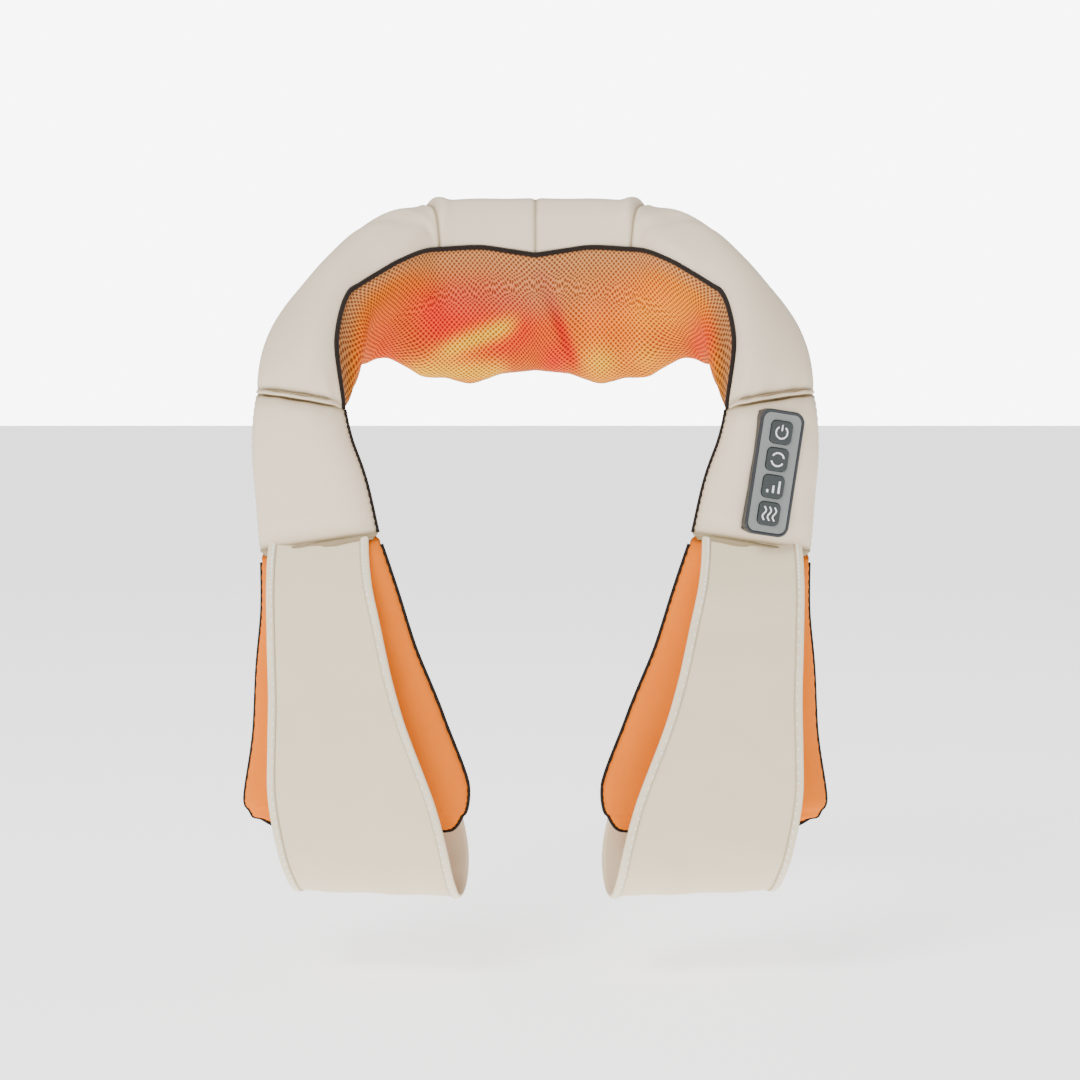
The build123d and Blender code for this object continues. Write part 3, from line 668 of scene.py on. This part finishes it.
def tan_and_painted_light(x, z):
    """Colour of the mesh, tan with a painted glow of the lamps inside and painted shade in its fold, at
    a distance from its middle and a height.
    """
    tan, brown = linear(192, 138, 76), linear(120, 78, 38)
    red, orange = linear(212, 92, 14), linear(228, 138, 14)
    yellow, painted_shade_colour = linear(250, 190, 20), linear(190, 74, 12)
    wander = 0.25 * noise.noise(Vector((x, 0, z)) / 22)
    streak = (z + 8) - (x + 14) * 0.42
    fold_shade = hill(mesh_fold(x, z), 5.5) * smooth(z, -50, -30) * (1 - smooth(z, 22, 36))
    # Painted glow of the heat lamps in red, orange and yellow, painted shade deep in the fold, and
    # darker brown towards both ends
    painted_glow_and_shade = [
        (red, 1.35 * hill(x + 42, 62) * hill(z + 6, 36) + wander * 0.4),
        (orange, 1.4 * hill(x - 66, 42) * hill(z + 8, 36)),
        (red, 0.63 * hill(x + 112, 18) * hill(z + 30, 22)),
        (red, 0.8 * hill(x - 120, 11) * hill(z + 22, 20)),
        (yellow, 0.95 * hill(streak, 8) * smooth(x, -86, -58) * (1 - smooth(x, -26, -6))),
        (yellow, 0.9 * hill(z + 44, 9) * smooth(x, -108, -84) * (1 - smooth(x, -30, -14))),
        (yellow, 0.85 * hill(x - 48, 14) * hill(z + 38, 13)),
        (yellow, 0.55 * hill(x - 84, 14) * hill(z + 34, 12)),
        (yellow, 0.35 * hill(x - 88, 26) * hill(z + 4, 16)),
        (painted_shade_colour, 0.85 * fold_shade),
        (red, 0.9 * hill(x - 14, 13) * hill(z + 34, 15)),
        (brown, 0.85 * smooth(abs(x), 122, 138)),
    ]
    colour = tan
    for tint_and_painted_light, share in painted_glow_and_shade:
        colour = toward(colour, tint_and_painted_light, share)
    return colour


def mesh_skin():
    """The mesh over the massage heads, pushed out by the nodes and pinched in the middle."""
    padding = bpy.context.scene.massager_padding
    lumps = [(side * HEAD_CENTRE[0] + i * NODE_REACH, HEAD_CENTRE[1] + j * NODE_REACH)
             for side in (-1, 1) for i in (-1, 1) for j in (-1, 1)]
    edge_tan, underside_shade_brown = linear(190, 136, 90), linear(170, 96, 48)

    def station(u):
        """Station at u, and the angle at which the mesh ends there."""
        s = (2 * u - 1) * COLLAR_END
        return s, MESH_EDGE + piping_angle(s)

    def place(u, v):
        s, end = station(u)
        angle = BACK_SEAM + (end - BACK_SEAM) * v
        spot = gathered(collar.point(s, angle))
        face = smooth(0.5 - abs(v - 0.5), 0.02, 0.2)
        lift = 0
        for x, z in lumps:
            lift += padding.lump * hill(sqrt((spot.x - x) ** 2 + (spot.z - z) ** 2), 13)
        fold = mesh_fold(spot.x, spot.z) * 0.94
        below = smooth(spot.z, -52, -20)
        pinch = hill(fold, 3.4) * (1 - smooth(spot.z, 40, 50)) * below
        pleats = sin(fold * 0.55 + spot.z * 0.09) * hill(fold - 4, 20) * smooth(spot.z, -20, 30)
        lift += (-2.6 * pinch + 2.2 * hill(fold - 8, 6) * below) * face
        lift += 0.7 * pleats * face
        lift += unevenness(spot, MESH_WAVE, 1.1) * face + 6.5 * hill(abs(s) - 4.9, 0.75) * face
        spot = gathered(collar.point(s, angle, lift))
        rim = 1 - smooth(min(v, 1 - v), 0.0, 0.02)
        edge = 1 - smooth((1 - v) * (end - BACK_SEAM), 2, 26)
        back = smooth(-(v - 0.18), 0, 0.16)
        # Tan with painted glow and painted shade, lighter tan near the piping, and browner with painted
        # shade on the underside
        colour = vivid(tan_and_painted_light(spot.x, spot.z + 0.07 * (spot.y + 20)), 1.55)
        colour = toward(toward(colour, edge_tan, edge * 0.75), underside_shade_brown, back * 0.5)
        return slanted(spot), rim, colour

    along, across = {}, {}

    def unroll(u, v):
        """Where a point lies on the flat cloth, in metres from the middle of its upper edge."""
        key = round(u, 5)
        if key not in across:
            s, end = station(u)
            ring = [gathered(collar.point(s, end + (BACK_SEAM - end) * i / 48)) for i in range(49)]
            total, across[key] = 0, [0]
            for a, b in zip(ring, ring[1:]):
                total += (b - a).length
                across[key].append(total)
            steps = [collar.point(s * i / 40, 270 + 45 * smooth(abs(s * i / 40), 2, 4))
                     for i in range(41)]
            along[key] = copysign(sum((b - a).length for a, b in zip(steps, steps[1:])), s)
        return along[key] * MM, between(across[key], (1 - v) * 48) * MM

    piece = sheet_of("collar_mesh", (260, 90), place, Vector(COLLAR_STATIONS[0][0]), look("mesh"),
                     1.4, 1, unroll)
    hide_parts("mesh_cover", "collar_foam")
    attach(piece, "collar")


def in_panel_pocket(spot):
    """Moves a point of the right arm's leather back where the control panel sits in it."""
    off = spot - PANEL_CENTRE
    x, y = abs(off.dot(PANEL_UP.cross(PANEL_OUT))), abs(off.dot(PANEL_UP))
    under = (1 - smooth(x, 12.6, 15.2)) * (1 - smooth(y, 40, 42.6))
    return spot - PANEL_OUT * 12 * under * smooth(off.dot(PANEL_OUT), -14, -5)


def limb_skin(side, name, skin, span, angles, material, nodes, bend, thickness,
              counts=(90, 80), depth=1.0, sewn_below=True):
    """A cover over one face of an arm or a hand pad, tucked in at its sewn ends."""
    padding = bpy.context.scene.massager_padding
    last = len(skin.rows[0]) - 1

    def place(u, v):
        s = span[0] + (span[1] - span[0]) * crowd(u, 0.6)
        angle = angles[0] + (angles[1] - angles[0]) * crowd(v, 0.35)
        centre = skin.section(min(max(s, 0), last))[0]
        to_seam = (centre - skin.rows[0][0]).length
        tucked = smooth(-s, -0.02, TUCK)
        if sewn_below:
            to_seam = min(to_seam, (centre - skin.rows[0][-1]).length)
            tucked += smooth(s, last, last + TUCK)
        to_edge = 1 - abs(cos(radians(angle)))
        across = abs(sin(radians(angle)))
        spot = skin.point(s, angle)
        lift = unevenness(spot, LIMB_WAVE, padding.dimple * depth) * across
        lift += 0.55 * sin(radians(angle) * 11 + s * 2) * hill(to_seam, 9) * across
        lift += 0.25 * sin(s * 42) * hill(to_edge * 30, 2.5)
        lift -= 3.0 * tucked
        # Painted shade in the seams and along the piped edges
        crease_shade = 0.75 * hill(to_seam, 2.0) + 0.3 * hill(to_seam, 8) + 0.35 * hill(to_edge * 60, 1.0)
        spot = slanted(skin.point(s, angle, lift))
        if name == "arm_leather_right":
            spot = in_panel_pocket(spot)
        return spot, min(1, crease_shade), (1, 1, 1)

    centre = skin.section((span[0] + span[1]) / 2)[0]
    piece = sheet_of(name, counts, place, centre, material, thickness, SIDES[side])
    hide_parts(*nodes)
    bend(piece, side)
    return piece


def cord_over(name, points, side, node, bend):
    """The piping along a limb's edges."""
    piece = tube(name, points, LIMB_CORD, look("piping"), SIDES[side])
    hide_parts(node)
    bend(piece, side)


def strap_point(u, t, lift=0.0):
    """A point of the right hand strap: u from its inner to its outer edge, t along it."""
    line = [Vector(p) for p in STRAP_LINE]
    at = t * (len(line) - 1)
    here = between(line, at)
    run = (between(line, at + 0.02) - between(line, at - 0.02)).normalized()
    low, high = (sum(look_up(edge, here.y + 9 * i) for i in range(-3, 4)) / 7
                 for edge in (STRAP_INNER, STRAP_OUTER))
    here = here + Vector((-run.y, run.x)) * lift
    return (STRAP_ORIGIN + STRAP_SIDE * (low + (high - low) * u) + STRAP_OUT * here.x
            + Vector((0, 0, here.y)))


def strap_ripple(u, t):
    """How far the cloth of a strap lifts, except at its sewn ends."""
    wave = unevenness(strap_point(u, t), STRAP_WAVE, 1.0)
    return wave * smooth(t, 0.02, 0.1) * (1 - smooth(t, 0.9, 0.98))


# ---------------------------------------------------------------- operators

class MASSAGER_OT_collar(bpy.types.Operator):
    """Sew the collar's leather panels, its mesh and its piping"""
    bl_idname = "massager.collar"
    bl_label = "Collar"

    def execute(self, context):
        for side in SIDES:
            collar_skin(side, f"collar_leather_{side}", 0.0, PANEL_SEAM, [f"collar_panel_{side}"])
            collar_skin(side, f"shoulder_leather_{side}", PANEL_SEAM, COLLAR_END,
                        [f"{side}_shoulder_cover", f"{side}_shoulder_foam"])
        mesh_skin()
        places = [(2 * i / 120 - 1) * COLLAR_END for i in range(121)]
        line = [slanted(gathered(collar.point(s, piping_angle(s), 0.4))) for s in places]
        piece = tube("collar_piping", line, COLLAR_CORD, look("piping"))
        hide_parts("collar_piping")
        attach(piece, "collar")
        return {"FINISHED"}


class MASSAGER_OT_inlet(bpy.types.Operator):
    """Turn the power inlet, flush with the collar's lower edge"""
    bl_idname = "massager.inlet"
    bl_label = "Power inlet"

    def execute(self, context):
        bm = bmesh.new()
        rim = [bm.verts.new((r * MM, 0, z * MM)) for r, z in INLET_PROFILE]
        edges = [bm.edges.new(pair) for pair in zip(rim, rim[1:] + rim[:1])]
        bmesh.ops.spin(bm, geom=rim + edges, cent=(0, 0, 0), axis=(0, 0, 1), angle=2 * pi,
                       steps=36, use_merge=True)
        bmesh.ops.remove_doubles(bm, verts=bm.verts[:], dist=1e-6)
        bmesh.ops.recalc_face_normals(bm, faces=bm.faces[:])
        bmesh.ops.translate(bm, verts=bm.verts[:], vec=INLET_PLACE)
        piece = finished("power_inlet", bm, look("black_plastic"))
        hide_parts("dc_jack")
        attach(piece, "collar")
        return {"FINISHED"}


class MASSAGER_OT_arms(bpy.types.Operator):
    """Sew the covers, linings and piping of the arms"""
    bl_idname = "massager.arms"
    bl_label = "Arms"

    def execute(self, context):
        thick = context.scene.massager_padding.leather
        last = len(ARM_STATIONS) - 1
        span = (-TUCK, last + TUCK)
        edge = [slanted(arm.point(0.1 * i, 0, 0.3)) for i in range(10 * last + 1)]
        for side in SIDES:
            limb_skin(side, f"arm_leather_{side}", arm, span, (0, 180), look("leather"),
                      [f"{side}_arm_cover", f"{side}_arm_foam"], bend_with_arm, thick)
            limb_skin(side, f"arm_lining_{side}", arm, span, (180, 360), look("lining"),
                      [f"{side}_arm_lining"], bend_with_arm, thick)
            cord_over(f"arm_piping_{side}", edge, side, f"{side}_arm_piping", bend_with_arm)
        return {"FINISHED"}


class MASSAGER_OT_pads(bpy.types.Operator):
    """Sew the orange hand pads and the piping round them"""
    bl_idname = "massager.pads"
    bl_label = "Hand pads"

    def execute(self, context):
        places = [0.1 * i for i in range(1, 60)] + [5.97]
        inner = [pad.point(s, 0, 0.3) for s in places]
        outer = [pad.point(s, 180, 0.3) for s in reversed(places)]
        bottom = [inner[-1].lerp(outer[0], 0.05 + 0.05 * i) + Vector((0, 0, -0.8)) for i in range(19)]
        faces = (("front", (0, 180), ("hand_pad_front", "hand_pad_foam")),
                 ("back", (180, 360), ("hand_pad_back",)))
        for side in SIDES:
            for face, angles, nodes in faces:
                limb_skin(side, f"pad_{face}_{side}", pad, (-TUCK, 6), angles, look("orange"),
                          [f"{side}_{node}" for node in nodes], bend_with_pad,
                          1.2, (110, 70), 1.6, sewn_below=False)
            cord_over(f"pad_piping_{side}", inner + bottom + outer, side,
                      f"{side}_hand_pad_piping", bend_with_pad)
        return {"FINISHED"}


class MASSAGER_OT_straps(bpy.types.Operator):
    """Cut and stitch the hand straps"""
    bl_idname = "massager.straps"
    bl_label = "Hand straps"

    def execute(self, context):
        sewing = context.scene.massager_stitches
        steps = 400
        rows = [[strap_point(u, i / steps) for u in (0, 0.5, 1)] for i in range(steps + 1)]
        runs = [(b[1] - a[1]).length for a, b in zip(rows, rows[1:])]
        length = sum(runs)
        widths = [(row[2] - row[0]).length for row in rows]
        area = sum(run * (p + q) / 2 for run, p, q in zip(runs, widths, widths[1:]))

        def band(u, v):
            # Painted shade near the strap's upper end
            return strap_point(u, v, strap_ripple(u, v)), 0.8 * hill(v * length, 7), (1, 1, 1)

        def edge(inner):
            def place(u, v):
                width = (strap_point(1, v) - strap_point(0, v)).length
                share = sewing.hem * u / width
                at = share if inner else 1 - share
                crown = 1.5 * (1 - abs(2 * u - 1) ** 6)
                lift = strap_ripple(at, v) + crown - 0.35
                # Painted shade along the hem's inner line, where it meets the strap
                return strap_point(at, v, lift), hill(1 - u, 0.22), (1, 1, 1)
            return place

        centre = STRAP_ORIGIN + Vector((0, 0, -290))
        for side, m in SIDES.items():
            strap = sheet_of(f"strap_{side}", (40, 200), band, centre, look("strap"), 1.6, m)
            hems = [sheet_of(f"strap_hem_{name}_{side}", (10, 200), edge(inner), centre,
                             look("binding"), 0, m)
                    for name, inner in (("inner", True), ("outer", False))]
            stitches = self.stitches(f"strap_stitches_{side}", m, edge, length, sewing)
            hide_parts(f"{side}_hand_strap")
            for piece in (strap, *hems, stitches):
                bend_with_pad(piece, side)
            area * MM * MM
        return {"FINISHED"}

    def stitches(self, name, m, edge, length, sewing):
        """A row of short stitches along each hem."""
        bm = bmesh.new()
        first, stitched = 0.015, 0.97
        count = int(length * stitched / sewing.pitch)
        flip = Vector((m, 1, 1))
        for inner in (True, False):
            place = edge(inner)
            for i in range(count):
                v = first + stitched * i / count
                here, ahead = place(0.62, v)[0], place(0.62, v + 0.004)[0]
                across = place(0.9, v)[0] - here
                run = (ahead - here).normalized()
                out = run.cross(across).normalized()
                axes = [run * flip * sewing.length / 2, out.cross(run) * flip * 0.9, out * flip * 0.7]
                turn = Matrix([axis * MM for axis in axes]).transposed().to_4x4()
                turn.translation = here * flip * MM
                bmesh.ops.create_uvsphere(bm, u_segments=6, v_segments=4, radius=1, matrix=turn)
        bmesh.ops.recalc_face_normals(bm, faces=bm.faces[:])
        return finished(name, bm, look("thread"))


class MASSAGER_OT_panel(bpy.types.Operator):
    """Draw the signs on the control panel's keys"""
    bl_idname = "massager.panel"
    bl_label = "Control panel"

    def execute(self, context):
        across = PANEL_UP.cross(PANEL_OUT)

        def spot(key, x, y):
            return (PANEL_CENTRE + across * x + PANEL_UP * (KEY_HEIGHTS[key] + y)
                    + PANEL_OUT * (KEY_TOP + 0.15))

        def line(key, *places):
            return [spot(key, x, y) for x, y in places]

        def arc(key, radius, start, end):
            angles = [radians(start + (end - start) * i / 16) for i in range(17)]
            return line(key, *[(radius * cos(a), radius * sin(a)) for a in angles])

        def wave(x):
            heights = [-4.8 + 0.8 * i for i in range(13)]
            return line("heat", *[(x + 1.1 * sin(y * 0.75), y) for y in heights])

        # Each key's strokes and their radius
        signs = {
            "power": ([arc("power", 4.3, 125, 415), line("power", (0, 5.4), (0, 1.0))], 0.55),
            "direction": ([arc("direction", 4.6, 15, 150), arc("direction", 4.6, 195, 330)], 0.6),
            "speed": ([line("speed", (x, -4.4), (x, top))
                       for x, top in ((-4.2, -2.2), (0, 0.8), (4.2, 4.2))], 0.8),
            "heat": ([wave(x) for x in (-3.8, 0, 3.8)], 0.55),
        }
        for key, (strokes, radius) in signs.items():
            pieces = [tube(f"{key}_stroke_{i}", stroke, radius, look("sign"), sides=2)
                      for i, stroke in enumerate(strokes)]
            sign = joined(f"{key}_sign", pieces)
            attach(sign, f"{key}_button")
        return {"FINISHED"}


class MASSAGER_OT_frame_finishes(bpy.types.Operator):
    """Give every carried-over part of the drive and the panel its finish"""
    bl_idname = "massager.frame_finishes"
    bl_label = "Drive finishes"

    def execute(self, context):
        slots = {row["node"]: row["material_slot"] for row in frame["record"]["subparts"]}
        for node, piece in frame["nodes"].items():
            if slots[node] in NODE_LOOKS and not piece.hide_render:
                if not piece.material_slots:
                    piece.data.materials.append(look(slots[node]))
                for holder in piece.material_slots:
                    holder.material = look(slots[node])
        return {"FINISHED"}


class MASSAGER_OT_finishes(bpy.types.Operator):
    """Mix the finishes that the pieces share"""
    bl_idname = "massager.finishes"
    bl_label = "Finishes"

    def execute(self, context):
        colours = context.scene.massager_finish
        # Painted shade colour for the seams and folds of leather, strap and binding
        crease_shade = list(colours.crease_shade)
        lining = [c * 0.93 for c in colours.leather]
        LOOKS["leather"] = leather("beige leather", list(colours.leather), crease_shade)
        LOOKS["lining"] = leather("lining", lining, crease_shade, 0.6)
        LOOKS["strap"] = leather("strap webbing", list(colours.strap), crease_shade, 0.6)
        LOOKS["binding"] = woven("strap binding", list(colours.binding), crease_shade, 0.0012, 0.75)
        # Its dark colour is painted shade in the pad's seams and along its edges
        LOOKS["orange"] = woven("orange fabric", list(colours.orange), linear(140, 66, 10),
                                0.0009, 0.85, 0.02)
        LOOKS["piping"] = woven("brown piping", list(colours.piping), linear(40, 30, 22),
                                0.0011, 0.6)
        LOOKS["mesh"] = knitted_mesh("heated mesh", colours.hole_pitch)
        LOOKS["thread"] = moulded("stitch thread", linear(252, 246, 232), 0.7, grain=1500)
        LOOKS["sign"] = moulded("white print", linear(240, 242, 242), 0.5)
        for name, (colour, *rest) in NODE_LOOKS.items():
            LOOKS[name] = moulded(name.replace("_", " "), linear(*colour), *rest)
        return {"FINISHED"}


class MASSAGER_OT_stage(bpy.types.Operator):
    """Set the floor, the lights and the camera"""
    bl_idname = "massager.stage"
    bl_label = "Stage"

    def execute(self, context):
        scene = context.scene
        self.floor()
        scene.world = self.world()
        for name, spot, size, power in LAMPS:
            light = bpy.data.lights.new(name, "AREA")
            light.size, light.energy = size, power
            lamp = bpy.data.objects.new(name, light)
            lamp.location = spot
            lamp.rotation_euler = (LIGHTS_AIM - lamp.location).to_track_quat("-Z", "Y").to_euler()
            scene.collection.objects.link(lamp)
        camera = bpy.data.cameras.new("camera")
        camera.lens, camera.sensor_width = CAMERA_LENS, CAMERA_SENSOR
        holder = bpy.data.objects.new("camera", camera)
        rise = radians(CAMERA_RISE)
        holder.location = CAMERA_AIM + Vector((0, -cos(rise), sin(rise))) * CAMERA_DISTANCE
        holder.rotation_euler = (radians(90) - rise, 0, 0)
        scene.collection.objects.link(holder)
        scene.camera = holder
        return {"FINISHED"}

    def floor(self):
        bm = bmesh.new()
        bmesh.ops.create_grid(bm, x_segments=2, y_segments=2, size=12,
                              matrix=Matrix.Translation((0, 0, FLOOR_HEIGHT)))
        g = Graph("pale floor")
        tone = g.blend(g.noise(2.0, 2), (0.93, 0.93, 0.93), (0.96, 0.96, 0.96))
        paint = g.surface(Base_Color=tone, Roughness=0.9, Emission_Color=(1, 1, 1, 1),
                          Emission_Strength=FLOOR_GLOW)
        finished("floor", bm, paint)

    def world(self):
        """White light all round, and a brighter white behind the object."""
        world = bpy.data.worlds.new("studio")
        world.use_nodes = True
        nodes, links = world.node_tree.nodes, world.node_tree.links
        lit = nodes["Background"]
        seen, path, either = (nodes.new(f"ShaderNode{kind}")
                              for kind in ("Background", "LightPath", "MixShader"))
        for background, strength in ((lit, WORLD_LIGHT), (seen, WORLD_SEEN)):
            background.inputs["Color"].default_value = (1, 1, 1, 1)
            background.inputs["Strength"].default_value = strength
        links.new(path.outputs["Is Camera Ray"], either.inputs[0])
        links.new(lit.outputs[0], either.inputs[1])
        links.new(seen.outputs[0], either.inputs[2])
        links.new(either.outputs[0], nodes["World Output"].inputs[0])
        return world


STEPS = (MASSAGER_OT_finishes, MASSAGER_OT_stage, MASSAGER_OT_collar, MASSAGER_OT_inlet,
         MASSAGER_OT_arms, MASSAGER_OT_pads, MASSAGER_OT_straps, MASSAGER_OT_panel,
         MASSAGER_OT_frame_finishes)


class MASSAGER_PT_sidebar(bpy.types.Panel):
    """Settings and steps of the massager"""
    bl_label = "Neck massager"
    bl_space_type = "VIEW_3D"
    bl_region_type = "UI"
    bl_category = "Massager"

    def draw(self, context):
        scene = context.scene
        for settings in (scene.massager_finish, scene.massager_padding, scene.massager_stitches):
            box = self.layout.box()
            for name in settings.bl_rna.properties.keys():
                if name not in ("rna_type", "name"):
                    box.prop(settings, name)
        for step in STEPS:
            self.layout.operator(step.bl_idname)


CLASSES = (FinishSettings, PaddingSettings, StitchSettings, *STEPS, MASSAGER_PT_sidebar)


def register():
    for cls in CLASSES:
        bpy.utils.register_class(cls)
    bpy.types.Scene.massager_finish = PointerProperty(type=FinishSettings)
    bpy.types.Scene.massager_padding = PointerProperty(type=PaddingSettings)
    bpy.types.Scene.massager_stitches = PointerProperty(type=StitchSettings)


def unregister():
    del bpy.types.Scene.massager_finish
    del bpy.types.Scene.massager_padding
    del bpy.types.Scene.massager_stitches
    for cls in reversed(CLASSES):
        bpy.utils.unregister_class(cls)


def main():
    register()
    bpy.ops.massager.finishes()
    bpy.ops.massager.stage()
    bpy.ops.massager.collar()
    bpy.ops.massager.inlet()
    bpy.ops.massager.arms()
    bpy.ops.massager.pads()
    bpy.ops.massager.straps()
    bpy.ops.massager.panel()
    bpy.ops.massager.frame_finishes()


if __name__ == "__main__":
    main()
